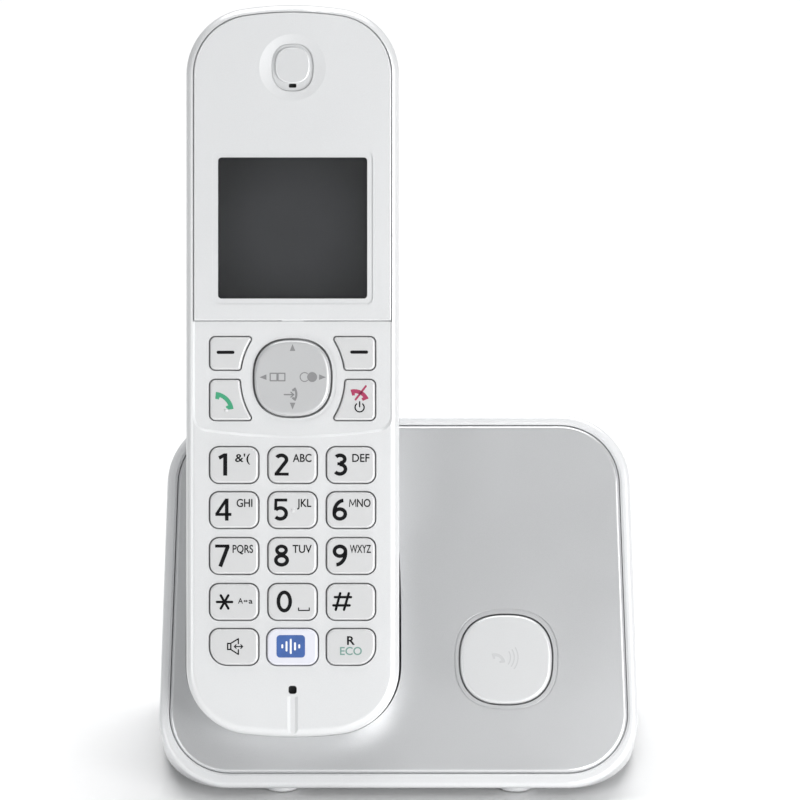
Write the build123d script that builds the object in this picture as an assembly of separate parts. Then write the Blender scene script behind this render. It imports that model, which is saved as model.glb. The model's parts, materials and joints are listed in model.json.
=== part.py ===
from build123d import *
import os
from math import atan2, cos, degrees, pi, radians, sin, sqrt

# Cordless phone standing in its charging base.
# World frame: X to the right, Y to the rear, Z up, origin on the floor at the middle of the whole phone's
# width and depth. The base is drawn from the floor below its panel's lower edge and moved there at the end.
# The handset has its own frame: X across, Y from its bottom end to its top, Z from its back to its face.
# The base panel has another: X across, Y up the slope of the panel, Z out of the panel.

# ---- driving dimensions, mm ----
FIT = 0.05                 # between pieces that are fixed to each other

# handset
HANDSET_LEAN = 16          # degrees back from the vertical
HANDSET_HALF = 23.9        # half the width
HANDSET_LENGTH = 164.4
HANDSET_DEPTH = 26
TOP_ARCH = 72              # radius of the arched top end
BOTTOM_ARCH = 90
END_CORNER = 15
BACK_ROUND = 8
FACE_ROUND = 2
HANDSET_WALL = 2
PARTING = 12               # where the two shells meet
HANDSET_X = -23.8          # centre of the handset from the centre of the base

# base
PANEL_LEAN = 27            # degrees back from the vertical
PANEL_LENGTH = 85.5
PANEL_FOOT = 3.4           # height of the panel's lower edge over the floor
BASE_HALF_LOW = 54.6       # half widths where the tapered sides would meet the ends
BASE_HALF_HIGH = 52.15
BASE_CORNER = 16
BASE_WALL = 2
BASE_FLOOR = 2.5           # underside over the floor
BASE_DEPTH = 75
REAR_HEIGHT = 30           # top of the upright part of the rear wall
REAR_BEND = 14             # radius between the upright and the sloping part
TOP_THICKNESS = 12
DEPTH_MIDDLE = 34.291      # middle of the whole depth, behind the panel's lower edge
REAR_ROUND = 6
PANEL_THICK = 2.2
PANEL_INSET = 2.4          # panel edge from the housing's outline
PANEL_INSET_FOOT = 3.2
PANEL_GAP = 0.12
PANEL_ROUND = 0.9          # along the panel's edge
RIM_BEVEL = 0.5            # along the inner edge of the rim round the panel

# cradle
HANDSET_RISE = 11.6        # handset's bottom end over the panel's lower edge, along the handset
HANDSET_SET_BACK = 15.5    # handset's back behind the panel's lower edge
POCKET_GAP = 0.5
POCKET_WALL = 1.8

# keys
FACE = HANDSET_DEPTH
RECESS_FACE = FACE - 0.4   # shallow recess round the navigator
RECESS_SLOPE = 0.6         # how far the recess's edge leans outwards
COLLAR_HALF = 9.85         # finer step that rings the navigator
COLLAR_DEPTH = 0.15
KEY_GAP = 0.3
KEY_FOOT = 22.7
KEY_FLANGE = 1.0
KEY_FLANGE_RIM = 0.85
DIAL_COLUMN = 13.1
DIAL_ROWS = (61.1, 51.0, 40.7, 30.4)
FUNCTION_ROW = 20.3
DIAL_WIDTH = 10.8
DIAL_HEIGHT = 8
DIAL_TOP = FACE + 0.7
SIDE_KEY_TOP = RECESS_FACE + 0.6
NAVIGATOR_Y = 80.6
NAVIGATOR_HALF = 8.55
NAVIGATOR_GAP = 0.45
NAVIGATOR_TOP = FACE + 0.8
SQUIRCLE_POWER = 2.5
BUMP_RADIUS = 0.6          # raised dots that a finger feels for
BUMP_HEIGHT = 0.25

# display
DISPLAY_Y = 114.3
DISPLAY_WIDTH = 33.4
DISPLAY_HEIGHT = 31.6
BEZEL_FOOT = 93.3          # lower edge of the display bezel
BEZEL_SEAT = 24.8
EARPIECE_Y = 150.3
EARPIECE_SLOT_Y = 146.25
CHANNEL_FLOOR = FACE - 0.75
BEZEL_TAB_HALF = 2.5       # small tab that bridges the seam under the display

# inside the handset
BOARD_LOW = 18.8
BOARD_HIGH = 19.8
MEMBRANE_HIGH = 21.1
DOME_HIGH = 21.6
MIC_Y = 10.65
SCREW_X = 9
SCREW_Y = 12.5

# charging contacts, in the bottom end of the handset and the floor of the cradle
CONTACT_X = (6, 10)
CONTACT_Z = (8.4, 11.8)
BLADE_X = (7, 9)
BLADE_Z = (9.1, 11.1)

# batteries
CELL_RADIUS = 5.25
CELL_LENGTH = 44.5
CELL_X = 5.5
CELL_Z = 7.5
CELL_LOW = 26.9
DOOR_THICK = 1.6
DOOR_HALF = 15
DOOR_LOW = 18.2
DOOR_HIGH = 72.4
DOOR_TRAVEL = 8
DOOR_TONGUES = (38, 56)    # middles of the tongues that hold the door's sides

# locator button
LOCATOR_X = 24.3
LOCATOR_Y = 29.1
LOCATOR_HALF_WIDTH = 10.4
LOCATOR_HALF_HEIGHT = 10.2
LOCATOR_TOP = 0.5

# sockets at the rear
BOARD_TOP = 8.6
LINE_JACK = (8, 22)        # left and right sides
LINE_JACK_TOP = 22.2
DC_JACK = (28, 37)
DC_JACK_TOP = 20.2
DC_JACK_AXIS = 15.2
DC_BORE = 3.1

# ---- the two tilted frames ----
along_back = sin(radians(HANDSET_LEAN))
along_up = cos(radians(HANDSET_LEAN))
HANDSET_BACK_Y = HANDSET_RISE * along_back + HANDSET_SET_BACK * along_up
HANDSET_BACK_Z = PANEL_FOOT + HANDSET_RISE * along_up - HANDSET_SET_BACK * along_back
HANDSET = Pos(HANDSET_X, HANDSET_BACK_Y, HANDSET_BACK_Z) * Rot(90 - HANDSET_LEAN, 0, 0)
BASE = Pos(0, 0, PANEL_FOOT) * Rot(90 - PANEL_LEAN, 0, 0)


# ---- shape helpers ----
def block(x0, x1, y0, y1, z0, z1):
    """Box between two values on each axis."""
    return Pos((x0 + x1) / 2, (y0 + y1) / 2, (z0 + z1) / 2) * Box(x1 - x0, y1 - y0, z1 - z0)


def disc(x, y, z0, z1, radius):
    """Upright cylinder between two heights."""
    return Pos(x, y, (z0 + z1) / 2) * Cylinder(radius, z1 - z0)


def plate(face, z0, z1):
    """Flat outline turned into a plate between two heights."""
    return extrude(Pos(0, 0, z0) * face, z1 - z0)


def round_top(solid, radius):
    return fillet(solid.edges().group_by(Axis.Z)[-1], radius)


def round_bottom(solid, radius):
    return fillet(solid.edges().group_by(Axis.Z)[0], radius)


def mirror_x(solid):
    return mirror(solid, about=Plane.YZ)


def group(solids):
    """Separate solids kept together as one piece."""
    return solids[0] + solids[1:]


def squircle(half_width, half_height, x=0, y=0):
    """Superellipse, rounder than a square and squarer than a circle."""
    steps = 24
    points = []
    for step in range(steps):
        angle = 2 * pi * step / steps
        across = abs(cos(angle)) ** (2 / SQUIRCLE_POWER) * (1 if cos(angle) >= 0 else -1)
        along = abs(sin(angle)) ** (2 / SQUIRCLE_POWER) * (1 if sin(angle) >= 0 else -1)
        points.append((x + half_width * across, y + half_height * along))
    return make_face(Spline(*points, periodic=True))


def rounded_box(width, height, radius, x=0, y=0):
    return Pos(x, y) * RectangleRounded(width, height, radius)


def handset_outline(inset=0):
    """Straight sides, a gently arched end at each end, and round corners tangent to both."""
    half = HANDSET_HALF - inset
    corner = END_CORNER - inset
    across = half - corner
    ends = ((inset, BOTTOM_ARCH - inset, -1), (HANDSET_LENGTH - inset, TOP_ARCH - inset, 1))
    edges = []
    side_ends = []
    for apex, arch, up in ends:
        arch_y = apex - up * arch
        corner_y = arch_y + up * sqrt((arch - corner) ** 2 - across ** 2)
        angle = atan2(corner_y - arch_y, across)
        touch = (arch * cos(angle), arch_y + arch * sin(angle))
        middle = (across + corner * cos(angle / 2), corner_y + corner * sin(angle / 2))
        for side in (-1, 1):
            start = (side * half, corner_y)
            edges.append(ThreePointArc(start, (side * middle[0], middle[1]), (side * touch[0], touch[1])))
        edges.append(ThreePointArc((-touch[0], touch[1]), (0, apex), touch))
        side_ends.append(corner_y)
    for side in (-1, 1):
        edges.append(Line((side * half, side_ends[0]), (side * half, side_ends[1])))
    return make_face(Wire(edges))


def handset_body(inset=0):
    """The whole handset as one rounded bar, smaller by the inset on every side."""
    body = plate(handset_outline(inset), inset, HANDSET_DEPTH - inset)
    body = round_bottom(body, BACK_ROUND - inset)
    return round_top(body, max(FACE_ROUND - inset, 0.4))


# ---- handset casing ----
def battery_bay():
    """Room for the two cells, open towards the back."""
    half = CELL_X + CELL_RADIUS + 0.35
    return half, CELL_LOW - 2.7, CELL_LOW + CELL_LENGTH + 0.5


def make_rear_cover():
    shell = handset_body() - handset_body(HANDSET_WALL)
    inside = handset_body(0.5)
    half, low, high = battery_bay()
    bay_wall = 1.2
    ceiling = CELL_Z + CELL_RADIUS + 0.25
    pad = block(-17.5, 17.5, 8, 75, 0.5, 3.4)
    tub = block(-half - bay_wall, half + bay_wall, low - bay_wall, high + bay_wall, 1.9, ceiling + bay_wall)
    upper_half = block(-40, 40, -10, 180, PARTING, 40)
    cover = (shell - upper_half) + (pad & inside)
    for side in (-1, 1):
        cover += disc(side * SCREW_X, SCREW_Y, 1.9, 6, 3.1)
    cover += tub
    cover -= block(-half, half, low, high, -1, ceiling)
    track = DOOR_HALF + 0.2
    seat = DOOR_THICK + 0.15
    cover -= block(-track, track, DOOR_LOW - DOOR_TRAVEL - 0.3, DOOR_HIGH + 0.15, -1, seat)
    contact = block(CONTACT_X[0], CONTACT_X[1], -1, 5, CONTACT_Z[0], CONTACT_Z[1])
    cover -= contact
    cover -= mirror_x(contact)
    for side in (-1, 1):
        cover -= disc(side * SCREW_X, SCREW_Y, 1, 3.7, 2.1)
        cover -= disc(side * SCREW_X, SCREW_Y, 3, 7, 1.1)
    groove = DOOR_HALF + 1.3
    half_tongue = 3.2
    for y in DOOR_TONGUES:
        cover -= block(-groove, groove, y - half_tongue - DOOR_TRAVEL, y + half_tongue, 0.7, seat)
        cover -= block(-groove, groove, y - half_tongue - DOOR_TRAVEL, y + half_tongue - DOOR_TRAVEL, -1, 1)
    for step in range(-3, 4):
        cover -= plate(rounded_box(14 - abs(step), 1.2, 0.55, 0, 116 + 2.6 * step), -1, 3)
    return cover


def make_battery_cover():
    door = block(-DOOR_HALF, DOOR_HALF, DOOR_LOW, DOOR_HIGH, 0, DOOR_THICK)
    for y in DOOR_TONGUES:
        door += block(-DOOR_HALF - 1, DOOR_HALF + 1, y - 2.8, y + 2.8, 0.9, DOOR_THICK)
    for step in range(4):
        door -= plate(rounded_box(14 - 2 * step, 0.9, 0.44, 0, DOOR_HIGH - 7 - 2.2 * step), -1, 0.45)
    return door


def bezel_outline(inset):
    below = block(-40, 40, -10, BEZEL_FOOT + inset - 1.5, -1, 1).faces().sort_by(Axis.Z)[-1]
    return handset_outline(inset) - Pos(0, 0, -1) * below


def navigator_recess():
    """Shallow step round the navigator, its lower edge sagging in the middle."""
    half = 21.9
    low_side = 69.6
    low_middle = 67.8
    sides = Line((-half, low_side), (-half, BEZEL_FOOT)) + Line((half, BEZEL_FOOT), (half, low_side))
    top = Line((-half, BEZEL_FOOT), (half, BEZEL_FOOT))
    sag = ThreePointArc((-half, low_side), (0, low_middle), (half, low_side))
    face = make_face(sides + top + sag)
    low_corners = face.vertices().sort_by(Axis.Y)[:2]
    floor = Pos(0, 0, RECESS_FACE) * fillet(low_corners, 3)
    slope = degrees(atan2(RECESS_SLOPE, FACE - RECESS_FACE))
    return extrude(floor, FACE - RECESS_FACE + 0.1, taper=-slope)


def side_key_outline(y0, y1):
    """Left-hand key beside the navigator, its inner edge hollowed by a circle round the navigator."""
    outer_edge = -18.5
    hollow_radius = 16.4
    hollow_x = 4.55
    middle = (y0 + y1) / 2
    face = Pos(outer_edge / 2, middle) * Rectangle(-outer_edge, y1 - y0)
    face -= Pos(hollow_x, 80.5) * Circle(hollow_radius)
    outer = face.vertices().sort_by(Axis.X)[:2]
    face = fillet(outer, 1.2)
    inner = face.vertices().sort_by(Axis.X)[-2:]
    return fillet(inner, 0.5)


SOFT_KEY = (82.5, 89.8)
CALL_KEY = (71.2, 80.2)
CALL_BUMP = (-14.9, 73.4)


def function_key_outline(column):
    """Keys of the lowest row: the outer ones have one large corner, the middle one is a little wider."""
    if column == 0:
        return rounded_box(11.3, 8.1, 2.2, 0, FUNCTION_ROW)
    face = Pos(column * DIAL_COLUMN, FUNCTION_ROW) * Rectangle(DIAL_WIDTH, DIAL_HEIGHT)
    low_outer = face.vertices().sort_by(lambda v: v.Y - column * v.X)[0]
    face = fillet(low_outer, 3.9)
    rest = face.vertices().sort_by(lambda v: v.Y - column * v.X)[2:]
    return fillet(rest, 2)


def key_outlines():
    """Outline, top height and recess for every key that slides straight in."""
    names = (("1", "2", "3"), ("4", "5", "6"), ("7", "8", "9"), ("star", "0", "hash"))
    keys = {}
    for row, y in enumerate(DIAL_ROWS):
        for column in (-1, 0, 1):
            outline = rounded_box(DIAL_WIDTH, DIAL_HEIGHT, 2, column * DIAL_COLUMN, y)
            keys["dial_key_" + names[row][column + 1]] = (outline, DIAL_TOP)
    keys["speaker_key"] = (function_key_outline(-1), DIAL_TOP)
    keys["sound_key"] = (function_key_outline(0), DIAL_TOP)
    keys["recall_key"] = (function_key_outline(1), DIAL_TOP)
    soft = side_key_outline(*SOFT_KEY)
    call = side_key_outline(*CALL_KEY)
    keys["soft_key_left"] = (soft, SIDE_KEY_TOP)
    keys["soft_key_right"] = (mirror_x(soft), SIDE_KEY_TOP)
    keys["talk_key"] = (call, SIDE_KEY_TOP)
    keys["off_key"] = (mirror_x(call), SIDE_KEY_TOP)
    return keys


def make_key(outline, top):
    cap = round_top(plate(outline, KEY_FOOT, top), 0.5)
    return cap + plate(offset(outline, KEY_FLANGE_RIM), KEY_FOOT, KEY_FOOT + KEY_FLANGE)


def touch_bump(x, y, top):
    return Pos(x, y, top + BUMP_HEIGHT - BUMP_RADIUS) * Sphere(BUMP_RADIUS)


def mic_groove():
    """Flat-bottomed groove with sloping sides, from the microphone hole to the bottom end."""
    depth = 0.5
    floor_half = 0.5
    mouth_half = 1.2
    floor_z = FACE - depth
    over = FACE + 0.1
    grown = mouth_half + 0.1 * (mouth_half - floor_half) / depth
    foot = (-floor_half, floor_z)
    face = make_face(Polyline(foot, (floor_half, floor_z), (grown, over), (-grown, over), foot))
    return Pos(0, MIC_Y - 1.5, 0) * extrude(Plane.XZ * face, 12)


def make_front_cover(keys):
    shell = handset_body() - handset_body(HANDSET_WALL)
    cover = shell - block(-40, 40, -10, 180, -1, PARTING)
    cover -= plate(bezel_outline(1.5), BEZEL_SEAT, FACE + 1)
    cover -= plate(rounded_box(DISPLAY_WIDTH + 1.6, DISPLAY_HEIGHT + 1.4, 1, 0, DISPLAY_Y), 20, FACE + 1)
    cover -= disc(0, EARPIECE_Y, 20, FACE, 3) + plate(earpiece_slot(0.15), 20, FACE)
    cover -= navigator_recess()
    cover -= plate(squircle(COLLAR_HALF, COLLAR_HALF, 0, NAVIGATOR_Y), RECESS_FACE - COLLAR_DEPTH, FACE + 1)
    navigator_hole = NAVIGATOR_HALF + NAVIGATOR_GAP
    cover -= plate(squircle(navigator_hole, navigator_hole, 0, NAVIGATOR_Y), 20, FACE + 1)
    for outline, _ in keys.values():
        cover -= plate(offset(outline, KEY_GAP), 20, FACE + 1)
    cover -= plate(rounded_box(1.85, 1.85, 0.6, 0, MIC_Y), 20, FACE + 1)
    cover -= mic_groove()
    for side in (-1, 1):
        boss = disc(side * SCREW_X, SCREW_Y, 6.2, FACE - 1.5, 2.4)
        cover += boss - disc(side * SCREW_X, SCREW_Y, 0, 18, 0.9)
    return cover


def make_handset_contacts():
    """Two plated pads flush in the bottom end, each with a tail up to the circuit board."""
    pad = block(CONTACT_X[0] + FIT, CONTACT_X[1] - FIT, 0, 3, CONTACT_Z[0] + FIT, CONTACT_Z[1] - FIT)
    pad &= handset_body(0.1)
    tail = block(8.5, 9.5, 2.4, 6.4, 10, 10.4) + block(8.5, 9.5, 6, 6.4, 10, BOARD_LOW)
    contact = pad + tail
    return contact + mirror_x(contact)


def make_display_bezel():
    bezel = round_top(plate(bezel_outline(1.75), BEZEL_SEAT + FIT, FACE), 0.25)
    opening = rounded_box(DISPLAY_WIDTH + 0.1, DISPLAY_HEIGHT + 0.1, 0.8, 0, DISPLAY_Y)
    surround = rounded_box(DISPLAY_WIDTH + 2.6, DISPLAY_HEIGHT + 2.6, 1.4, 0, DISPLAY_Y)
    bezel -= plate(opening, 20, FACE + 1)
    bezel -= plate(surround, FACE - 0.3, FACE + 1)
    dish_depth = 0.5
    dish_radius = 7.5
    ball = (dish_radius ** 2 + dish_depth ** 2) / (2 * dish_depth)
    bezel -= Pos(0, EARPIECE_Y, FACE - dish_depth + ball) * Sphere(ball)
    bezel -= plate(squircle(4.7, 5.35, 0, EARPIECE_Y), 20, FACE + 1)
    foot = BEZEL_FOOT + FIT
    return bezel + block(-BEZEL_TAB_HALF, BEZEL_TAB_HALF, foot, foot + 1, BEZEL_SEAT + FIT, FACE - 0.05)


def earpiece_slot(grow=0):
    return rounded_box(1.7 + 2 * grow, 0.9 + 2 * grow, 0.3, 0, EARPIECE_SLOT_Y)


def make_earpiece_insert():
    """Raised pad in a narrow channel, with the sound slot at its lower edge."""
    insert = plate(squircle(4.6, 5.25, 0, EARPIECE_Y), BEZEL_SEAT + FIT, CHANNEL_FLOOR)
    insert += round_top(plate(squircle(3.85, 4, 0, EARPIECE_Y + 0.5), CHANNEL_FLOOR - 0.1, FACE), 0.25)
    return insert - plate(earpiece_slot(), 20, FACE + 1)


def make_display_window():
    outline = rounded_box(DISPLAY_WIDTH, DISPLAY_HEIGHT, 0.75, 0, DISPLAY_Y)
    return round_top(plate(outline, BEZEL_SEAT + FIT, FACE - 0.35), 0.1)


# ---- inside the handset ----
def make_circuit_board():
    board = plate(handset_outline(4.6), BOARD_LOW, BOARD_HIGH)
    for side in (-1, 1):
        board -= disc(side * SCREW_X, SCREW_Y, 0, 30, 3)
    return board


def make_keypad_membrane(keys):
    """Silicone sheet with a dome under each key, open round the navigator's pivot and the screws."""
    sheet = plate(handset_outline(4.6), BOARD_HIGH, MEMBRANE_HIGH)
    sheet -= block(-40, 40, 94, 180, 0, 40)
    sheet -= block(-40, 40, -10, 15, 0, 40)
    for outline, _ in keys.values():
        middle = outline.bounding_box().center()
        sheet += disc(middle.X, middle.Y, MEMBRANE_HIGH - 0.3, DOME_HIGH, 2.4)
    sheet -= disc(0, NAVIGATOR_Y, 0, 40, 5)
    for side in (-1, 1):
        sheet -= disc(side * SCREW_X, SCREW_Y, 0, 40, 3)
    return sheet


def make_navigator_key():
    outline = squircle(NAVIGATOR_HALF, NAVIGATOR_HALF, 0, NAVIGATOR_Y)
    cap = round_top(plate(outline, 22.3, NAVIGATOR_TOP), 0.9)
    return cap + disc(0, NAVIGATOR_Y, 22.3, 23.3, 9.6)


def make_navigator_pad():
    """Pivot plate that lets the navigator tip four ways."""
    return disc(0, NAVIGATOR_Y, BOARD_HIGH + 0.4, 21.5, 3.6) + disc(0, NAVIGATOR_Y, 21.4, 21.9, 1.2)


def make_lcd_module():
    return plate(rounded_box(36, 34, 0.6, 0, DISPLAY_Y), 20.4, 23.9)


def make_lcd_frame():
    frame = plate(rounded_box(39, 37, 1.5, 0, DISPLAY_Y), BOARD_HIGH, 23.4)
    frame -= plate(rounded_box(36.1, 34.1, 0.6, 0, DISPLAY_Y), 20.35, 30)
    return frame - plate(rounded_box(30, 28, 1, 0, DISPLAY_Y), 10, 30)


def make_receiver():
    return round_top(disc(0, EARPIECE_Y, BOARD_HIGH + 0.4, 23.7, 6.5), 0.6)


def make_microphone():
    return disc(0, MIC_Y, BOARD_HIGH, 23.6, 2)


def make_ringer():
    """Loudspeaker facing the slots in the back."""
    cone = disc(0, 116, 3, 5, 10.5)
    magnet = disc(0, 116, 5, 8, 6)
    return round_top(cone + magnet, 0.5)


def make_handset_shield():
    can = block(-15, 15, 78, 102, 15.6, BOARD_LOW)
    can = fillet(can.edges().filter_by(Axis.Z), 1)
    return can - block(-14.6, 14.6, 78.4, 101.6, 16, BOARD_LOW)


def make_handset_antenna():
    """Bent strip standing off the top end of the board."""
    strip = block(-13, 13, 150, 154, 13, 13.5)
    legs = block(-13, -12.5, 150, 154, 13, BOARD_LOW) + block(-4, -3.5, 150, 154, 13, BOARD_LOW)
    return strip + legs


def make_cell(side):
    middle_y = CELL_LOW + CELL_LENGTH / 2 - 0.4
    cell = Pos(side * CELL_X, middle_y, CELL_Z) * Rot(90, 0, 0) * Cylinder(CELL_RADIUS, CELL_LENGTH - 0.8)
    cell = fillet(cell.edges(), 0.5)
    tip_y = CELL_LOW + CELL_LENGTH - 0.5 if side > 0 else CELL_LOW - 0.3
    nub = Pos(side * CELL_X, tip_y, CELL_Z) * Rot(90, 0, 0) * Cylinder(1.9, 1)
    return cell + nub


def make_battery_springs():
    """A coil for the flat end of each cell."""
    wire = 0.2
    coils = []
    for side in (-1, 1):
        start = CELL_LOW - 2.3 if side > 0 else CELL_LOW + CELL_LENGTH - 0.8
        path = Helix(pitch=0.8, height=1.6 if side > 0 else 0.4, radius=2.6)
        section = Plane(origin=path @ 0, z_dir=path % 0) * Circle(wire)
        coil = sweep(section, path=path)
        lift = wire + 0.02
        coils.append(Pos(side * CELL_X, start + lift, CELL_Z) * Rot(-90, 0, 0) * coil)
    return group(coils)


def make_battery_plates():
    """Contact plates against the end walls of the battery bay."""
    half, low, high = battery_bay()
    plates = []
    for side in (-1, 1):
        plates.append(block(side * CELL_X - 4, side * CELL_X + 4, high - 0.3, high - FIT, 3.5, 11.5))
    plates.append(block(-9.5, 9.5, low + FIT, low + 0.35, 3.5, 11.5))
    return group(plates)


def make_handset_screws():
    screws = []
    for side in (-1, 1):
        head = disc(side * SCREW_X, SCREW_Y, 2.3, 3.65, 1.9)
        head -= block(side * SCREW_X - 1.2, side * SCREW_X + 1.2, SCREW_Y - 0.25, SCREW_Y + 0.25, 2, 2.9)
        head -= block(side * SCREW_X - 0.25, side * SCREW_X + 0.25, SCREW_Y - 1.2, SCREW_Y + 1.2, 2, 2.9)
        screws.append(head + disc(side * SCREW_X, SCREW_Y, 3.6, 17, 0.9))
    return group(screws)


# ---- base casing, in the world frame ----
def base_outline(inset, inset_foot=None):
    """Panel outline: sides that draw in a little towards the top, and round corners."""
    foot = inset if inset_foot is None else inset_foot
    low = BASE_HALF_LOW - inset
    high = BASE_HALF_HIGH - inset
    top = PANEL_LENGTH - inset
    face = make_face(Polyline((-low, foot), (low, foot), (high, top), (-high, top), (-low, foot)))
    return fillet(face.vertices(), BASE_CORNER - inset)


def rear_limit(inset):
    """Everything in front of the rear wall: upright low down, then sloping up to the thin top."""
    lean_y = sin(radians(PANEL_LEAN))
    lean_z = cos(radians(PANEL_LEAN))
    top_y = PANEL_LENGTH * lean_y + TOP_THICKNESS * lean_z
    top_z = PANEL_FOOT + PANEL_LENGTH * lean_z - TOP_THICKNESS * lean_y
    slope_y = top_y - BASE_DEPTH
    slope_z = top_z - REAR_HEIGHT
    beyond = (BASE_DEPTH + 2 * slope_y, REAR_HEIGHT + 2 * slope_z)
    turn = (BASE_DEPTH, REAR_HEIGHT)
    face = make_face(Polyline((-60, -40), (BASE_DEPTH, -40), turn, beyond, (-60, beyond[1]), (-60, -40)))
    bend = face.vertices().sort_by_distance(turn)[0]
    face = fillet(bend, REAR_BEND)
    if inset:
        face = offset(face, -inset, kind=Kind.INTERSECTION)
    return extrude(Plane.YZ * face, 80, both=True)


def base_blank(inset, front, floor):
    """Base body, smaller by the inset at the sides, top and rear, behind a front and above a floor."""
    prism = BASE * extrude(Pos(0, 0, front) * base_outline(inset), -120)
    body = prism & rear_limit(inset) & block(-80, 80, -20, 120, floor, 120)
    rear_faces = [face for face in body.faces() if face.normal_at(face.center()).Y > 0.5]
    edges = []
    for face in rear_faces:
        for edge in face.edges():
            owners = [other for other in rear_faces if edge in other.edges()]
            if len(owners) == 1 and edge.center().Z > floor + 0.01:
                edges.append(edge)
    return fillet(edges, REAR_ROUND - inset)


def panel_side(inset=0):
    return base_outline(PANEL_INSET + inset, PANEL_INSET_FOOT + inset)


def pocket(grow):
    """The handset's own shape, larger all round and running on upwards, so that it lifts straight out."""
    body = handset_body(-grow)
    lower = body & block(-40, 40, -10, 60, -10, 60)
    section = lower.faces().sort_by(Axis.Y)[-1]
    return HANDSET * (lower + extrude(section, 90))


def screw_spots():
    return [(x, y) for x in (-46, 46) for y in (31, 64)]


def make_base_housing(inner):
    housing = base_blank(0, 0, BASE_FLOOR)
    panel_normal = Axis((0, 0, 0), (0, -cos(radians(PANEL_LEAN)), sin(radians(PANEL_LEAN))))
    housing = fillet(housing.faces().sort_by(panel_normal)[-1].edges(), 1.2)
    housing -= inner
    housing -= BASE * plate(panel_side(-PANEL_GAP), -4, 2)
    rim_slope = extrude(Pos(0, 0, -RIM_BEVEL) * panel_side(-PANEL_GAP), RIM_BEVEL + 0.1, taper=-45)
    housing -= BASE * rim_slope
    for x, y in screw_spots():
        wall_x = BASE_HALF_LOW - 1.6 if x > 0 else 1.6 - BASE_HALF_LOW
        post = disc(x, y, 4.8, 15, 3.1)
        post += block(min(x, wall_x), max(x, wall_x), y - 0.9, y + 0.9, 4.8, 15)
        housing += post - disc(x, y, 0, 13, 1.2)
    for (left, right), top in ((LINE_JACK, LINE_JACK_TOP), (DC_JACK, DC_JACK_TOP)):
        housing -= block(left - 0.3, right + 0.3, 70, 80, BOARD_TOP - 0.3, top + 0.3)
    return housing


def make_base_panel(room):
    panel = plate(panel_side(), -PANEL_THICK, 0)
    panel = BASE * round_top(panel, PANEL_ROUND)
    tub = pocket(POCKET_GAP + POCKET_WALL) & room
    behind_face = BASE * block(-80, 80, -60, 160, -80, -0.4)
    panel += tub & behind_face
    panel -= pocket(POCKET_GAP)
    opening = squircle(LOCATOR_HALF_WIDTH + 0.35, LOCATOR_HALF_HEIGHT + 0.35, LOCATOR_X, LOCATOR_Y)
    panel -= BASE * plate(opening, -10, 5)
    ring = squircle(LOCATOR_HALF_WIDTH + 1.45, LOCATOR_HALF_HEIGHT + 1.45, LOCATOR_X, LOCATOR_Y)
    ring -= squircle(LOCATOR_HALF_WIDTH + 1.1, LOCATOR_HALF_HEIGHT + 1.1, LOCATOR_X, LOCATOR_Y)
    panel -= BASE * plate(ring, -0.3, 5)
    for side in (-1, 1):
        slot = block(BLADE_X[0] - 0.4, BLADE_X[1] + 0.4, -6, 4, BLADE_Z[0] - 0.4, BLADE_Z[1] + 0.4)
        panel -= HANDSET * (slot if side > 0 else mirror_x(slot))
    return panel


def make_base_contacts():
    """Spring blades that come up through the floor of the cradle."""
    blade = block(BLADE_X[0], BLADE_X[1], -3.2, 0.15, BLADE_Z[0], BLADE_Z[0] + 0.5)
    blade += block(BLADE_X[0], BLADE_X[1], -0.35, 0.15, BLADE_Z[0], BLADE_Z[1])
    blade += block(BLADE_X[0], BLADE_X[1], -3.2, -2.7, 1, BLADE_Z[0] + 0.5)
    return HANDSET * (blade + mirror_x(blade))


def make_bottom_cover():
    cover = base_blank(BASE_WALL + 0.3, -PANEL_THICK - 0.8, BASE_FLOOR)
    cover &= block(-80, 80, 4, 120, 0, BASE_FLOOR + 2)
    for x, y in screw_spots():
        cover -= disc(x, y, 0, 10, 1.3) + disc(x, y, 0, 3.6, 2.3)
    for x, y in foot_spots():
        cover -= disc(x, y, 0, 3.5, 2.5)
    for step in range(6):
        cover -= block(-14, 14, 30 + 4 * step, 31.4 + 4 * step, 0, 10)
    return cover


def foot_spots():
    return [(-26.5, 9), (26.5, 9), (-36, 67), (36, 67)]


def make_base_feet():
    """Plastic feet, each pressed into the bottom cover by a peg and hollowed for its rubber pad."""
    feet = []
    for x, y in foot_spots():
        foot = round_bottom(disc(x, y, 0.35, BASE_FLOOR - FIT, 4), 0.6)
        foot += disc(x, y, BASE_FLOOR - 0.2, 3.4, 2.4)
        feet.append(foot - disc(x, y, 0, 0.8, 2.85))
    return group(feet)


def make_foot_pads():
    return group([round_bottom(disc(x, y, 0, 0.75, 2.8), 0.2) for x, y in foot_spots()])


def make_base_screws():
    screws = []
    for x, y in screw_spots():
        head = disc(x, y, 2.55, 3.55, 2.1) - block(x - 1.3, x + 1.3, y - 0.25, y + 0.25, 2, 3)
        head -= block(x - 0.25, x + 0.25, y - 1.3, y + 1.3, 2, 3)
        screws.append(head + disc(x, y, 3.5, 12.5, 1.15))
    return group(screws)


def make_locator_button():
    outline = squircle(LOCATOR_HALF_WIDTH, LOCATOR_HALF_HEIGHT, LOCATOR_X, LOCATOR_Y)
    button = round_top(plate(outline, -5.2, LOCATOR_TOP), 0.8)
    rim = squircle(LOCATOR_HALF_WIDTH + 1.3, LOCATOR_HALF_HEIGHT + 1.3, LOCATOR_X, LOCATOR_Y)
    button += plate(rim, -4.2, -2.7)
    button -= disc(LOCATOR_X, LOCATOR_Y, -10, -1.5, 8.4) - disc(LOCATOR_X, LOCATOR_Y, -10, 0, 2)
    button += disc(LOCATOR_X, LOCATOR_Y, -6, -1, 2)
    return BASE * button


def make_locator_board():
    board = plate(rounded_box(28, 28, 2, LOCATOR_X, LOCATOR_Y), -12.4, -11.2)
    return BASE * board


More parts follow.
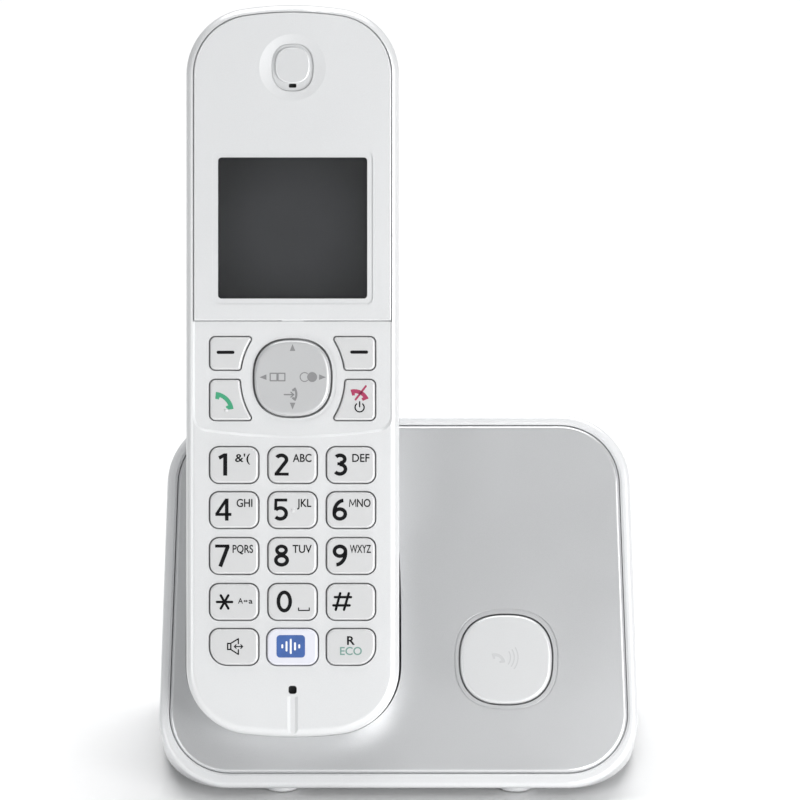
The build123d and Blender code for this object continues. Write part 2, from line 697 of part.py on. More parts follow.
def make_locator_switch():
    """Small push switch under the locator button."""
    body = block(LOCATOR_X - 3, LOCATOR_X + 3, LOCATOR_Y - 3, LOCATOR_Y + 3, -11.2, -8)
    return BASE * (body + disc(LOCATOR_X, LOCATOR_Y, -8.1, -7.3, 1.7))


def make_base_board():
    board = plate(rounded_box(84, 40, 2, 2, 49), BOARD_TOP - 1.6, BOARD_TOP)
    for x, y in screw_spots():
        board -= disc(x, y, 0, 20, 3.7)
    return board


def make_base_shield():
    can = block(-26, 2, 36, 62, BOARD_TOP, BOARD_TOP + 4)
    can = fillet(can.edges().filter_by(Axis.Z), 1)
    return can - block(-25.6, 1.6, 36.4, 61.6, BOARD_TOP, BOARD_TOP + 3.6)


def make_base_antennas():
    """Two bent strips standing on the board."""
    strips = []
    for x in (-36, -30):
        upright = block(x, x + 0.5, 36, 40, BOARD_TOP, 20)
        strips.append(upright + block(x, x + 0.5, 36, 60, 18, 20))
    return group(strips)


def make_line_jack():
    """Modular line socket: an open mouth to the rear, with a narrower notch for the clip."""
    x0, x1 = LINE_JACK
    jack = block(x0, x1, 60.5, BASE_DEPTH - 0.4, BOARD_TOP, LINE_JACK_TOP)
    middle = (x0 + x1) / 2
    jack -= block(middle - 4.9, middle + 4.9, 63, 80, 12.2, 19.2)
    jack -= block(middle - 3.1, middle + 3.1, 63, 80, 10.8, 12.4)
    for step in range(4):
        x = middle - 1.8 + 1.2 * step
        jack += block(x - 0.2, x + 0.2, 62.9, 65.2, 17.6, 19.3)
    return jack


def make_dc_jack():
    """Barrel inlet with a centre pin."""
    x0, x1 = DC_JACK
    middle = (x0 + x1) / 2
    jack = block(x0, x1, 61, BASE_DEPTH - 0.4, BOARD_TOP, DC_JACK_TOP)
    bore = Pos(middle, 70, DC_JACK_AXIS) * Rot(90, 0, 0) * Cylinder(DC_BORE, 14)
    pin = Pos(middle, 68.4, DC_JACK_AXIS) * Rot(90, 0, 0) * Cylinder(0.95, 11)
    return jack - bore + pin


def build():
    keys = key_outlines()
    inner = base_blank(BASE_WALL, -PANEL_THICK - 0.5, -10)
    room = base_blank(BASE_WALL + 0.5, -0.4, BASE_FLOOR + 2.5)
    handset = {
        "handset_front_cover": make_front_cover(keys),
        "handset_rear_cover": make_rear_cover(),
        "battery_cover": make_battery_cover(),
        "display_bezel": make_display_bezel(),
        "display_window": make_display_window(),
        "earpiece_insert": make_earpiece_insert(),
        "navigator_key": make_navigator_key(),
        "navigator_pad": make_navigator_pad(),
        "keypad_membrane": make_keypad_membrane(keys),
        "lcd_module": make_lcd_module(),
        "lcd_frame": make_lcd_frame(),
        "earpiece_receiver": make_receiver(),
        "handset_microphone": make_microphone(),
        "ringer_speaker": make_ringer(),
        "handset_circuit_board": make_circuit_board(),
        "handset_shield_can": make_handset_shield(),
        "handset_antenna": make_handset_antenna(),
        "handset_charge_contacts": make_handset_contacts(),
        "handset_screws": make_handset_screws(),
        "battery_left": make_cell(-1),
        "battery_right": make_cell(1),
        "battery_springs": make_battery_springs(),
        "battery_plates": make_battery_plates(),
    }
    for name, (outline, top) in keys.items():
        handset[name] = make_key(outline, top)
    handset["dial_key_5"] += touch_bump(0.1, DIAL_ROWS[1] - 0.1, DIAL_TOP)
    handset["talk_key"] += touch_bump(*CALL_BUMP, SIDE_KEY_TOP)
    base = {
        "base_housing": make_base_housing(inner),
        "base_front_panel": make_base_panel(room),
        "base_bottom_cover": make_bottom_cover(),
        "base_feet": make_base_feet(),
        "base_foot_pads": make_foot_pads(),
        "base_screws": make_base_screws(),
        "base_charge_contacts": make_base_contacts(),
        "base_circuit_board": make_base_board(),
        "base_shield_can": make_base_shield(),
        "base_antennas": make_base_antennas(),
        "line_jack": make_line_jack(),
        "dc_jack": make_dc_jack(),
        "locator_button": make_locator_button(),
        "locator_board": make_locator_board(),
        "locator_switch": make_locator_switch(),
    }
    to_origin = Pos(0, -DEPTH_MIDDLE, 0)
    shapes = {name: to_origin * HANDSET * shape for name, shape in handset.items()}
    shapes.update({name: to_origin * shape for name, shape in base.items()})
    return shapes


os.makedirs("parts", exist_ok=True)
for node, solid in build().items():
    export_step(solid, f"parts/{node}.step")
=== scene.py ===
import json
from math import asin, atan2, cos, degrees, radians, sin

import bmesh
import bpy
from mathutils import Matrix, Vector


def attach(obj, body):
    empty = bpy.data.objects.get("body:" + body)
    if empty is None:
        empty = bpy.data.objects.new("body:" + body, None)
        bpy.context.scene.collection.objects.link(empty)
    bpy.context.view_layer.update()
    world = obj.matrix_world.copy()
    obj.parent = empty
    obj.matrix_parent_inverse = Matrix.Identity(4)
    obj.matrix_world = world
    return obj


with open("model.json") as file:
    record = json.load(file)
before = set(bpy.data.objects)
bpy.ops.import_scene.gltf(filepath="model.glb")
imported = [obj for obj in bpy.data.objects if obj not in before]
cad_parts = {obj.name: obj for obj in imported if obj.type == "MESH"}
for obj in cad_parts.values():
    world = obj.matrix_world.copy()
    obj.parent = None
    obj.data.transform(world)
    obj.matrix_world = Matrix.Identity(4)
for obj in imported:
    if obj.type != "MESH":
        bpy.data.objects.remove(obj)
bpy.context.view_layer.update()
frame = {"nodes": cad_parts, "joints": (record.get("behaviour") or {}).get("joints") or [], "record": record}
NODES = frame["nodes"]
BODIES = frame["record"]["behaviour"]["bodies"]
BODY_OF = {node: body for body, members in BODIES.items() for node in members}

MM = 0.001
INK_THICKNESS = 0.05  # mm, of which a little is sunk into the face that carries it
INK_CENTRE = 0.005    # mm over that face


# ---- places on the two sloping faces ----
def axes_facing(joint_name):
    """Across, up and out of a sloping face, from the joint that presses into it."""
    joint = next(j for j in frame["joints"] if j["name"] == joint_name)
    across = Vector((1, 0, 0))
    out = -Vector(joint["axis"]).normalized()
    return Matrix((across, out.cross(across), out)).transposed()


HANDSET_AXES = axes_facing("dial_key_5_press")
BASE_AXES = axes_facing("locator_button_press")


def sloping_box(node, axes):
    """Lowest and highest corner of a node along a sloping face's axes."""
    to_face = axes.transposed()
    points = [to_face @ vertex.co for vertex in NODES[node].data.vertices]
    low = Vector([min(point[axis] for point in points) for axis in range(3)])
    high = Vector([max(point[axis] for point in points) for axis in range(3)])
    return low, high


# keys whose touch bump stands over their face take its level from a plain neighbour
LEVEL_FROM = {"dial_key_5": "dial_key_2", "talk_key": "off_key"}


def face_of(node, axes, depth=0.0):
    """Millimetres on the middle of a node's face, turned into metres in the row frame."""
    low, high = sloping_box(node, axes)
    level = sloping_box(LEVEL_FROM.get(node, node), axes)[1].z
    middle = Vector(((low.x + high.x) / 2, (low.y + high.y) / 2, level - depth * MM))
    return Matrix.Translation(axes @ middle) @ axes.to_4x4() @ Matrix.Scale(MM, 4)


# ---- materials ----
def add(tree, kind, **inputs):
    node = tree.nodes.new("ShaderNode" + kind)
    for name, value in inputs.items():
        node.inputs[name].default_value = value
    return node


def noise(tree, place, size_mm, detail=3):
    texture = add(tree, "TexNoise", Scale=1 / (size_mm * MM), Detail=detail, Roughness=0.55)
    tree.links.new(place, texture.inputs["Vector"])
    return texture.outputs["Fac"]


def spread(tree, value, low, high):
    """A noise's middle values stretched over a range."""
    change = tree.nodes.new("ShaderNodeMapRange")
    change.inputs["From Min"].default_value = 0.3
    change.inputs["From Max"].default_value = 0.7
    change.inputs["To Min"].default_value = low
    change.inputs["To Max"].default_value = high
    tree.links.new(value, change.inputs["Value"])
    return change.outputs["Result"]


def blended(tree, factor, first, second):
    mix = tree.nodes.new("ShaderNodeMix")
    mix.data_type = "RGBA"
    tree.links.new(factor, mix.inputs["Factor"])
    for socket, colour in (("A", first), ("B", second)):
        target = next(s for s in mix.inputs if s.name == socket and s.type == "RGBA")
        if isinstance(colour, bpy.types.NodeSocket):
            tree.links.new(colour, target)
        else:
            target.default_value = (*colour, 1)
    return next(s for s in mix.outputs if s.type == "RGBA")


def surface(
    name, colour, roughness, grain=0.25, contrast=0.03, relief=0.004, stretch=None, **constants
):
    """Moulded, painted or metal surface: grain and relief are its texture's size and depth in mm."""
    material = bpy.data.materials.new(name)
    material.use_nodes = True
    tree = material.node_tree
    shader = tree.nodes["Principled BSDF"]
    for socket, value in constants.items():
        shader.inputs[socket.replace("_", " ")].default_value = value
    place = tree.nodes.new("ShaderNodeTexCoord").outputs["Object"]
    if stretch:
        mapping = add(tree, "Mapping", Scale=stretch)
        tree.links.new(place, mapping.inputs["Vector"])
        place = mapping.outputs["Vector"]
    fine = noise(tree, place, grain)
    broad = noise(tree, place, 35, 2)
    darker = [channel * (1 - contrast) for channel in colour]
    lighter = [min(1, channel * (1 + contrast)) for channel in colour]
    speckled = blended(tree, spread(tree, fine, 0, 1), darker, lighter)
    worn = [channel * 0.985 for channel in colour]
    shaded = blended(tree, spread(tree, broad, 0, 0.5), speckled, worn)
    tree.links.new(shaded, shader.inputs["Base Color"])
    tree.links.new(spread(tree, broad, roughness * 0.9, roughness * 1.1), shader.inputs["Roughness"])
    bump = add(tree, "Bump", Strength=1, Distance=relief * MM)
    tree.links.new(fine, bump.inputs["Height"])
    tree.links.new(bump.outputs["Normal"], shader.inputs["Normal"])
    return material


def painted_glow_glass(name, node, axes, glow_middle_colour, glow_edge_colour):
    """Display glass with a painted glow: lighter in its middle and fading to dark at its edges, with a faint
    grid of picture cells.
    """
    material = surface(name, glow_middle_colour, 0.35, 0.3, 0.05, 0.001)
    tree = material.node_tree
    shader = tree.nodes["Principled BSDF"]
    low, high = sloping_box(node, axes)
    centre = axes @ ((low + high) / 2)
    place = tree.nodes.new("ShaderNodeTexCoord").outputs["Object"]
    mapping = tree.nodes.new("ShaderNodeMapping")
    reach = 24 * MM
    mapping.inputs["Location"].default_value = -centre / reach
    mapping.inputs["Scale"].default_value = (1 / reach,) * 3
    tree.links.new(place, mapping.inputs["Vector"])
    # painted glow: a spherical gradient in the base colour, dark at the edges and lighter in the middle
    glow = tree.nodes.new("ShaderNodeTexGradient")
    glow.gradient_type = "SPHERICAL"
    tree.links.new(mapping.outputs["Vector"], glow.inputs["Vector"])
    ramp = tree.nodes.new("ShaderNodeValToRGB")
    ramp.color_ramp.elements[0].color = (*glow_edge_colour, 1)
    ramp.color_ramp.elements[1].color = (*glow_middle_colour, 1)
    ramp.color_ramp.elements[1].position = 0.75
    ramp.color_ramp.interpolation = "EASE"
    tree.links.new(glow.outputs["Fac"], ramp.inputs["Fac"])
    cells = add(tree, "TexChecker", Scale=1 / (0.28 * MM))
    tree.links.new(place, cells.inputs["Vector"])
    faint = spread(tree, cells.outputs["Fac"], 0, 0.06)
    tree.links.new(blended(tree, faint, ramp.outputs["Color"], (0, 0, 0)), shader.inputs["Base Color"])
    return material


def painted(
    name, colour, roughness, metallic, coat, coat_roughness, grain=0.16, contrast=0.035, relief=0.002
):
    """Silver paint under a thin clear coat."""
    return surface(name, colour, roughness, grain, contrast, relief,
                   Metallic=metallic, Coat_Weight=coat, Coat_Roughness=coat_roughness)


def ink(name, colour, roughness=0.4, grain=0.12, contrast=0.05, **constants):
    return surface(name, colour, roughness, grain, contrast, 0.002, **constants)


# The display is switched off; its lighter middle fading to dark edges is a painted glow, not the screen's
# own colour
LCD_PAINTED_GLOW_MIDDLE = (0.068, 0.068, 0.071)
LCD_PAINTED_GLOW_EDGE = (0.008, 0.008, 0.009)
FINISHES = {
    "handset_shell": painted("silver_shell", (0.75, 0.757, 0.762), 0.34, 0.25, 0.25, 0.2),
    "bezel": painted("silver_bezel", (0.735, 0.742, 0.748), 0.34, 0.25, 0.25, 0.2),
    "window": surface("clear_window", (0.85, 0.86, 0.87), 0.03, 8, 0.01, 0.0005,
                      Transmission_Weight=1.0, IOR=1.49),
    "lcd_holder": surface("white_holder", (0.7, 0.7, 0.69), 0.55, 0.4, 0.03, 0.006),
    "earpiece": painted("silver_earpiece", (0.76, 0.767, 0.774), 0.26, 0.3, 0.5, 0.1, 0.16, 0.03, 0.001),
    "keys": painted("grey_keys", (0.64, 0.643, 0.645), 0.33, 0.15, 0.35, 0.18, 0.14, 0.03),
    "navigator": painted("silver_navigator", (0.56, 0.565, 0.57), 0.34, 0.3, 0.3, 0.2, 0.16, 0.03),
    "silicone": surface("grey_silicone", (0.05, 0.055, 0.06), 0.6, 0.3, 0.05, 0.004),
    "transducer": surface("black_transducer", (0.015, 0.015, 0.016), 0.5, 0.3, 0.1, 0.01),
    "board": surface("green_board", (0.02, 0.13, 0.05), 0.3, 1.2, 0.35, 0.02, Coat_Weight=0.5),
    "sheet_metal": surface("tinned_sheet", (0.55, 0.55, 0.53), 0.32, 0.6, 0.06, 0.004,
                           (1, 12, 1), Metallic=1.0),
    "contact_metal": surface("plated_contact", (0.62, 0.59, 0.52), 0.22, 0.3, 0.05, 0.002,
                             (8, 1, 1), Metallic=1.0),
    "screw_steel": surface("zinc_screw", (0.42, 0.42, 0.43), 0.3, 0.2, 0.08, 0.004, Metallic=1.0),
    "cell_jacket": surface("cell_jacket", (0.16, 0.30, 0.24), 0.3, 0.8, 0.04, 0.002, Metallic=0.4),
    "base_shell": painted("silver_base", (0.76, 0.767, 0.775), 0.34, 0.2, 0.25, 0.2),
    "base_panel": painted("silver_panel", (0.71, 0.717, 0.725), 0.36, 0.75, 0.2, 0.25),
    "locator": painted("silver_locator", (0.7, 0.706, 0.71), 0.34, 0.3, 0.3, 0.2, 0.16, 0.03),
    "socket": surface("black_socket", (0.02, 0.02, 0.021), 0.45, 0.3, 0.1, 0.006),
    "feet": surface("dark_rubber", (0.06, 0.06, 0.062), 0.75, 0.3, 0.12, 0.02),
    "lcd": painted_glow_glass("lcd_painted_glow", "lcd_module", HANDSET_AXES, LCD_PAINTED_GLOW_MIDDLE, LCD_PAINTED_GLOW_EDGE),
}
MILKY_KEY = surface("milky_key", (0.72, 0.725, 0.79), 0.16, 4, 0.02, 0.001,
                    Coat_Weight=1.0, Coat_Roughness=0.04)

INKS = {
    "dark_ink": ink("dark_ink", (0.004, 0.004, 0.005), 0.5, 0.12, 0.15, Specular_IOR_Level=0.15),
    "grey_ink": ink("grey_ink", (0.235, 0.235, 0.24), contrast=0.04),
    "green_ink": ink("green_ink", (0.047, 0.32, 0.17)),
    "red_ink": ink("red_ink", (0.36, 0.035, 0.10)),
    "teal_ink": ink("teal_ink", (0.17, 0.31, 0.27)),
    "blue_label": ink("blue_label", (0.05, 0.115, 0.34), 0.35, 2.5, 0.12),
    "white_ink": ink("white_ink", (0.85, 0.86, 0.88), contrast=0.02),
    "pearl_ink": ink("pearl_ink", (0.57, 0.575, 0.58), 0.3, contrast=0.02, Metallic=0.1),
}

for part in frame["record"]["subparts"]:
    node = NODES[part["node"]]
    finish = MILKY_KEY if part["node"] == "sound_key" else FINISHES[part["material_slot"]]
    node.material_slots[0].material = finish


# ---- printed marks, drawn in mm on the middle of a face ----
def mesh_of(curve):
    holder = bpy.data.objects.new(curve.name, curve)
    mesh = bpy.data.meshes.new_from_object(holder)
    bpy.data.objects.remove(holder)
    bpy.data.curves.remove(curve)
    return mesh


def filled(*outlines):
    """Plate between flat outlines, where an outline inside another is a hole."""
    curve = bpy.data.curves.new("outline", "CURVE")
    curve.dimensions = "2D"
    curve.fill_mode = "BOTH"
    curve.extrude = 0.5
    for outline in outlines:
        spline = curve.splines.new("POLY")
        spline.points.add(len(outline) - 1)
        for point, (x, y) in zip(spline.points, outline):
            point.co = (x, y, 0, 1)
        spline.use_cyclic_u = True
    return mesh_of(curve)


def arc(radius, start, end, x=0.0, y=0.0, steps=20):
    angles = [radians(start + (end - start) * step / steps) for step in range(steps + 1)]
    return [(x + radius * cos(angle), y + radius * sin(angle)) for angle in angles]


def disc(radius, x, y):
    return arc(radius, 0, 345, x, y, 23)


def bar(x0, y0, x1, y1, width):
    """Outline of a straight stroke with round ends."""
    heading = degrees(atan2(y1 - y0, x1 - x0))
    far_end = arc(width / 2, heading - 90, heading + 90, x1, y1, 8)
    return far_end + arc(width / 2, heading + 90, heading + 270, x0, y0, 8)


def strokes(width, *paths):
    return [filled(bar(*a, *b, width)) for path in paths for a, b in zip(path, path[1:])]


def ring_piece(radius, width, start, end, x, y):
    return filled(arc(radius + width / 2, start, end, x, y) + arc(radius - width / 2, end, start, x, y))


def round_box(width, height, corner, x=0.0, y=0.0):
    points = []
    for turn, (side, up) in enumerate(((1, 1), (-1, 1), (-1, -1), (1, -1))):
        middle_x = x + side * (width / 2 - corner)
        middle_y = y + up * (height / 2 - corner)
        points += arc(corner, 90 * turn, 90 * turn + 90, middle_x, middle_y, 6)
    return points


def receiver(chord, sag, grip, pad, turn, x, y):
    """Outline of a telephone receiver: an arc with a deeper pad at each end."""
    radius = chord ** 2 / (8 * sag) + sag / 2
    half = degrees(asin(chord / 2 / radius))
    pad_angle = half * 0.42
    points = arc(radius, 90 + half, 90 - half)
    points += arc(radius - pad, 90 - half, 90 - half + pad_angle, steps=4)
    points += arc(radius - grip, 90 - half + pad_angle, 90 + half - pad_angle)
    points += arc(radius - pad, 90 + half - pad_angle, 90 + half, steps=4)
    middle = radius - sag / 2
    across, up = cos(radians(turn)), sin(radians(turn))
    return [(x + a * across - (b - middle) * up, y + a * up + (b - middle) * across) for a, b in points]


def text_mesh(text, weight):
    curve = bpy.data.curves.new("text", "FONT")
    curve.body = text
    curve.offset = weight
    curve.extrude = 0.5
    curve.resolution_u = 5
    return mesh_of(curve)


CAP_HEIGHT = max(vertex.co.y for vertex in text_mesh("H", 0).vertices)


def words(text, height, x, y, width=None, weight=0.0):
    """Lettering with that cap height and width, its middle at x and its capitals' middle at y."""
    mesh = text_mesh(text, weight)
    left = min(vertex.co.x for vertex in mesh.vertices)
    right = max(vertex.co.x for vertex in mesh.vertices)
    tall = height / (CAP_HEIGHT + 2 * weight)
    wide = width / (right - left) if width else tall
    for vertex in mesh.vertices:
        vertex.co.x = x + (vertex.co.x - (left + right) / 2) * wide
        vertex.co.y = y + (vertex.co.y - CAP_HEIGHT / 2) * tall
    return mesh


def printed(name, node, axes, ink, shapes, depth=0.0):
    """One ink's print on a node's face, as one thin mesh that moves with the node's body."""
    lift = Matrix.Translation((0, 0, INK_CENTRE)) @ Matrix.Diagonal((1, 1, INK_THICKNESS, 1))
    joined = bmesh.new()
    for shape in shapes:
        joined.from_mesh(shape)
        bpy.data.meshes.remove(shape)
    joined.transform(face_of(node, axes, depth) @ lift)
    bmesh.ops.remove_doubles(joined, verts=joined.verts, dist=0.0005 * MM)
    mesh = bpy.data.meshes.new(name)
    joined.to_mesh(mesh)
    joined.free()
    mesh.materials.append(INKS[ink])
    piece = bpy.data.objects.new(name, mesh)
    bpy.context.scene.collection.objects.link(piece)
    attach(piece, BODY_OF[node])
    return piece


def ellipse_arc(x, y, wide, tall, start, end, steps=28):
    angles = [radians(start + (end - start) * step / steps) for step in range(steps + 1)]
    return [(x + wide * cos(angle), y + tall * sin(angle)) for angle in angles]


def ribbon(points, width):
    """Stroke of even width along a path, with flat ends."""
    left, right = [], []
    last = len(points) - 1
    for index, (x, y) in enumerate(points):
        before, after = points[max(index - 1, 0)], points[min(index + 1, last)]
        heading = Vector((after[0] - before[0], after[1] - before[1])).normalized() * width / 2
        left.append((x - heading.y, y + heading.x))
        right.append((x + heading.y, y - heading.x))
    return left + right[::-1]


def loop(x, y, wide, tall, width):
    """Closed elliptical stroke: its outer outline and its hole."""
    half = width / 2
    return [ellipse_arc(x, y, wide + grow, tall + grow, 0, 350) for grow in (half, -half)]


STROKE = 0.82
DIGIT_HEIGHT = 4.94
SIX = [loop(0, 1.5, 1.24, 1.1, STROKE), [ribbon(ellipse_arc(1.0, 1.9, 2.24, 2.64, 95, 186), STROKE)]]
# each digit is drawn on its baseline, centred on x 0
DIGITS = {
    "1": [[[(0.9, 0), (0.9, 4.98), (0.15, 4.98), (-1.12, 4.3), (-0.77, 3.58), (0, 4.02), (0, 0)]]],
    "2": [[ribbon(ellipse_arc(-0.1, 3.6, 1.15, 0.95, 150, -30) + [(-1.2, 0.45)], STROKE)],
          [ribbon([(-1.62, 0.33), (1.55, 0.33)], 0.66)]],
    "3": [[ribbon(ellipse_arc(-0.05, 3.7, 1.07, 0.86, 145, -90), STROKE)],
          [ribbon(ellipse_arc(-0.08, 1.45, 1.25, 1.07, 95, -145), STROKE)],
          [ribbon([(-0.65, 2.66), (0.05, 2.66)], 0.66)]],
    "4": [[ribbon([(0.7, 0), (0.7, 4.95)], 0.8)], [ribbon([(-1.85, 1.4), (1.75, 1.4)], 0.66)],
          [ribbon([(0.62, 4.72), (-1.62, 1.4)], 0.66)]],
    "5": [[ribbon([(-1.15, 4.62), (1.4, 4.62)], 0.66)], [ribbon([(-1.12, 4.9), (-1.2, 2.35)], 0.66)],
          [ribbon(ellipse_arc(-0.15, 1.62, 1.33, 1.22, 140, -140), STROKE)]],
    "6": SIX,
    "7": [[ribbon([(-1.6, 4.6), (1.6, 4.6)], 0.68)], [ribbon([(1.3, 4.6), (-0.45, 0)], 0.86)]],
    "8": [loop(0, 3.7, 1.05, 0.85, 0.78), loop(0, 1.42, 1.28, 1.03, STROKE)],
    "9": [[[(-x, DIGIT_HEIGHT - y) for x, y in outline] for outline in shape] for shape in SIX],
    "0": [loop(0, 2.47, 1.33, 2.06, STROKE)],
}
BASELINE = -2.36


def digit_shapes(digit, x):
    placed = [[[(x + a, BASELINE + b) for a, b in outline] for outline in shape] for shape in DIGITS[digit]]
    return [filled(*outlines) for outlines in placed]


# digit's x, then the letters with their width and right-hand end
DIALS = {
    "1": (-2.45, "&'(", 3.4, 3.6),
    "2": (-2.41, "ABC", 4.2, 4.25),
    "3": (-2.4, "DEF", 3.85, 4.15),
    "4": (-2.36, "GHI", 3.55, 4.1),
    "5": (-2.6, "JKL", 3.2, 4.2),
    "6": (-2.5, "NO", 3.05, 4.4),  # its M is drawn as strokes
    "7": (-2.67, "PQRS", 4.6, 4.25),
    "8": (-2.47, "TUV", 4.3, 4.3),
    "9": (-2.47, "WXYZ", 4.75, 4.5),
}
for digit, (digit_x, letters, width, right) in DIALS.items():
    marks = digit_shapes(digit, digit_x) + [words(letters, 1.8, right - width / 2, 1.6, width, 0.014)]
    if digit == "6":
        marks += strokes(0.2, [(-0.33, 0.8), (-0.2, 2.4), (0.4, 1.1), (1.0, 2.4), (1.13, 0.8)])
    printed(f"print_dial_key_{digit}", f"dial_key_{digit}", HANDSET_AXES, "dark_ink", marks)

zero = digit_shapes("0", -1.85)
zero += strokes(0.26, [(1.35, -1.35), (1.35, -1.9), (3.75, -1.9), (3.75, -1.35)])
printed("print_dial_key_0", "dial_key_0", HANDSET_AXES, "dark_ink", zero)

STAR_X = -2.15
STAR_RADIUS = 1.7
star = []
for turn in (0, radians(60), radians(120)):
    across, up = STAR_RADIUS * cos(turn), STAR_RADIUS * sin(turn)
    star.append(filled(bar(STAR_X - across, -up, STAR_X + across, up, 0.55)))
star += [words("A", 1.25, 1.42, 0.25, 1.1, 0.012), words("a", 1.25, 3.7, 0.25, 0.85, 0.012)]
star += strokes(0.2, [(2.2, 0.2), (2.95, 0.2)])
star.append(filled([(2.1, 0.2), (2.45, 0.5), (2.45, -0.1)]))
star.append(filled([(3.05, 0.2), (2.7, -0.1), (2.7, 0.5)]))
printed("print_dial_key_star", "dial_key_star", HANDSET_AXES, "dark_ink", star)

slanted = [[(-2.41, 1.95), (-3.41, -1.75)], [(-0.48, 1.95), (-1.56, -1.75)]]
level = [[(-3.6, 1.08), (0, 1.08)], [(-3.95, -0.77), (-0.3, -0.77)]]
hash_sign = strokes(0.56, *slanted, *level)
printed("print_dial_key_hash", "dial_key_hash", HANDSET_AXES, "dark_ink", hash_sign)

speaker = [filled([(-1.6, 0.95), (-0.6, 0.95), (-0.6, -0.7), (-1.6, -0.7)],
                  [(-1.3, 0.65), (-1.3, -0.4), (-0.9, -0.4), (-0.9, 0.65)])]
speaker += strokes(0.28, [(-0.7, 0.85), (0.95, 1.85), (0.95, 0.75)],
                   [(-0.7, -0.6), (0.95, -1.65), (0.95, -0.6)])
speaker += strokes(0.24, [(0.1, 0.1), (1.85, 0.1)], [(0.45, 0.5), (0.05, 0.1), (0.45, -0.3)],
                   [(1.5, 0.5), (1.9, 0.1), (1.5, -0.3)])
printed("print_speaker_key", "speaker_key", HANDSET_AXES, "dark_ink", speaker)

LABEL_OVER = -0.03  # the white bars lie on the blue label
printed("label_sound_key", "sound_key", HANDSET_AXES, "blue_label",
        [filled(round_box(6.4, 5.05, 0.8, -0.4, 0.15))])
levels = [filled(bar(x - 0.4, 0.15 - tall, x - 0.4, 0.15 + tall, 0.42))
          for x, tall in ((-1.9, 0.25), (-0.95, 0.95), (0, 1.5), (0.95, 0.7), (1.9, 0.25))]
printed("mark_sound_key", "sound_key", HANDSET_AXES, "white_ink", levels, LABEL_OVER)

recall = [words("R", 1.95, 0, 1.45, 1.75, 0.02)]
printed("print_recall_key", "recall_key", HANDSET_AXES, "dark_ink", recall)
eco = [words("ECO", 1.8, 0, -0.9, 4.9, 0.014)]
printed("print_eco_recall_key", "recall_key", HANDSET_AXES, "teal_ink", eco)

left_bar = [filled(bar(-2.75, 0.25, 0.55, 0.25, 0.72))]
printed("print_soft_key_left", "soft_key_left", HANDSET_AXES, "dark_ink", left_bar)
right_bar = [filled(bar(-0.65, 0.3, 2.65, 0.3, 0.72))]
printed("print_soft_key_right", "soft_key_right", HANDSET_AXES, "dark_ink", right_bar)
pick_up = [filled(receiver(5.5, 0.95, 0.95, 1.55, -44, -0.95, 0.25))]
printed("print_talk_key", "talk_key", HANDSET_AXES, "green_ink", pick_up)
hang_up = [filled(receiver(4.5, 0.85, 0.9, 1.4, -26, 1.27, 1.7))]
hang_up += strokes(0.45, [(0.2, 0.1), (2.5, 3.1)])
printed("print_off_key", "off_key", HANDSET_AXES, "red_ink", hang_up)
power = [ring_piece(1.02, 0.3, 125, 415, 1.1, -1.65)] + strokes(0.3, [(1.1, -1.5), (1.1, -0.4)])
printed("print_power_off_key", "off_key", HANDSET_AXES, "dark_ink", power)

navigator = [
    filled([(-0.62, 6.1), (0.62, 6.1), (0, 7.65)]),
    filled([(-0.62, -5.5), (0, -7.05), (0.62, -5.5)]),
    filled([(-5.85, 0.85), (-7.4, 0.2), (-5.85, -0.4)]),
    filled([(5.95, 0.85), (5.95, -0.4), (7.5, 0.2)]),
    filled(round_box(1.8, 1.95, 0.15, -4.25, 0.25), round_box(1.25, 1.4, 0.08, -4.25, 0.25)),
    filled(round_box(1.8, 1.95, 0.15, -2.48, 0.25), round_box(1.25, 1.4, 0.08, -2.48, 0.25)),
    ring_piece(1.0, 0.22, 45, 315, 2.7, 0.25),
    filled(disc(1.12, 4.4, 0.25)),
    filled(receiver(3.1, 0.5, 0.5, 0.95, -90, 0.85, -3.6)),
]
navigator += strokes(0.3, [(-1.85, -3.7), (0.25, -3.7)], [(-0.35, -3.15), (0.25, -3.7), (-0.35, -4.25)])
printed("print_navigator_key", "navigator_key", HANDSET_AXES, "grey_ink", navigator)

pearl = [filled(receiver(3.7, 0.9, 0.7, 1.3, -32, -1.5, 0.6))]
pearl += [ring_piece(radius, 0.28, -38, 32, -1.6, 0.4) for radius in (2.6, 3.45, 4.3)]
printed("print_locator_button", "locator_button", BASE_AXES, "pearl_ink", pearl)


# ---- studio ----
handset_low, handset_high = sloping_box("handset_front_cover", HANDSET_AXES)
CAMERA_DISTANCE = 1.8
LENS = 361
AIM_ACROSS = 0.3  # mm from the middle of the whole phone
AIM_UP = 75.7     # mm up the handset's face from its bottom end
target = HANDSET_AXES @ Vector((AIM_ACROSS * MM, handset_low.y + AIM_UP * MM, handset_high.z))
out = HANDSET_AXES.col[2]

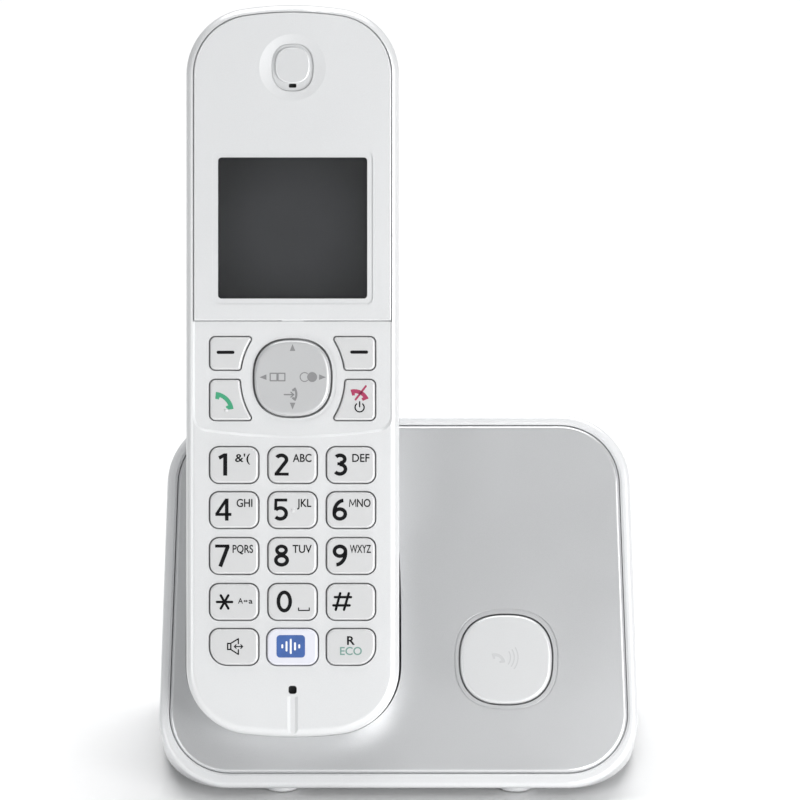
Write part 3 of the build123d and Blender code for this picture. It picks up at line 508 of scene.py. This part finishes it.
camera = bpy.data.objects.new("camera", bpy.data.cameras.new("camera"))
camera.data.lens = LENS
camera.data.sensor_width = 36
camera.location = target + out * CAMERA_DISTANCE
camera.rotation_mode = "QUATERNION"
camera.rotation_quaternion = out.to_track_quat("Z", "Y")
camera.data.clip_start = 0.05
camera.data.clip_end = 30
bpy.context.scene.collection.objects.link(camera)
bpy.context.scene.camera = camera

floor_mesh = bpy.data.meshes.new("floor")
FLOOR_HALF = 6
floor_mesh.from_pydata([(-FLOOR_HALF, -FLOOR_HALF, 0), (FLOOR_HALF, -FLOOR_HALF, 0),
                        (FLOOR_HALF, FLOOR_HALF, 0), (-FLOOR_HALF, FLOOR_HALF, 0)], [], [(0, 1, 2, 3)])
floor = bpy.data.objects.new("floor", floor_mesh)
floor_mesh.materials.append(surface("pale_floor", (0.94, 0.94, 0.94), 0.6, 3, 0.006, 0.002))
bpy.context.scene.collection.objects.link(floor)


def soft_light(name, place, width, height, power, aim=(0, 0, 0.07)):
    """Rectangular lamp aimed at the phone, out of the camera's sight."""
    lamp = bpy.data.objects.new(name, bpy.data.lights.new(name, "AREA"))
    lamp.data.shape = "RECTANGLE"
    lamp.data.size = width
    lamp.data.size_y = height
    lamp.data.energy = power
    lamp.location = place
    lamp.rotation_mode = "QUATERNION"
    lamp.rotation_quaternion = (Vector(place) - Vector(aim)).to_track_quat("Z", "Y")
    lamp.visible_camera = False
    bpy.context.scene.collection.objects.link(lamp)


soft_light("key_light", (0.55, -0.8, 0.16), 0.5, 0.3, 5.6)
soft_light("panel_light", (0.3, -0.4, 0.34), 0.3, 0.1, 0.35)
soft_light("fill_light", (-0.75, -0.75, 0.22), 0.4, 0.36, 1.15)
soft_light("floor_light", (0, 0.55, 1.6), 1.7, 1.4, 29, (0, 0.1, 0))

world = bpy.data.worlds.new("pale_studio")
world.use_nodes = True
world.node_tree.nodes["Background"].inputs["Color"].default_value = (0.97, 0.985, 1, 1)
world.node_tree.nodes["Background"].inputs["Strength"].default_value = 0.31
bpy.context.scene.world = world
bpy.context.scene.view_settings.view_transform = "Standard"
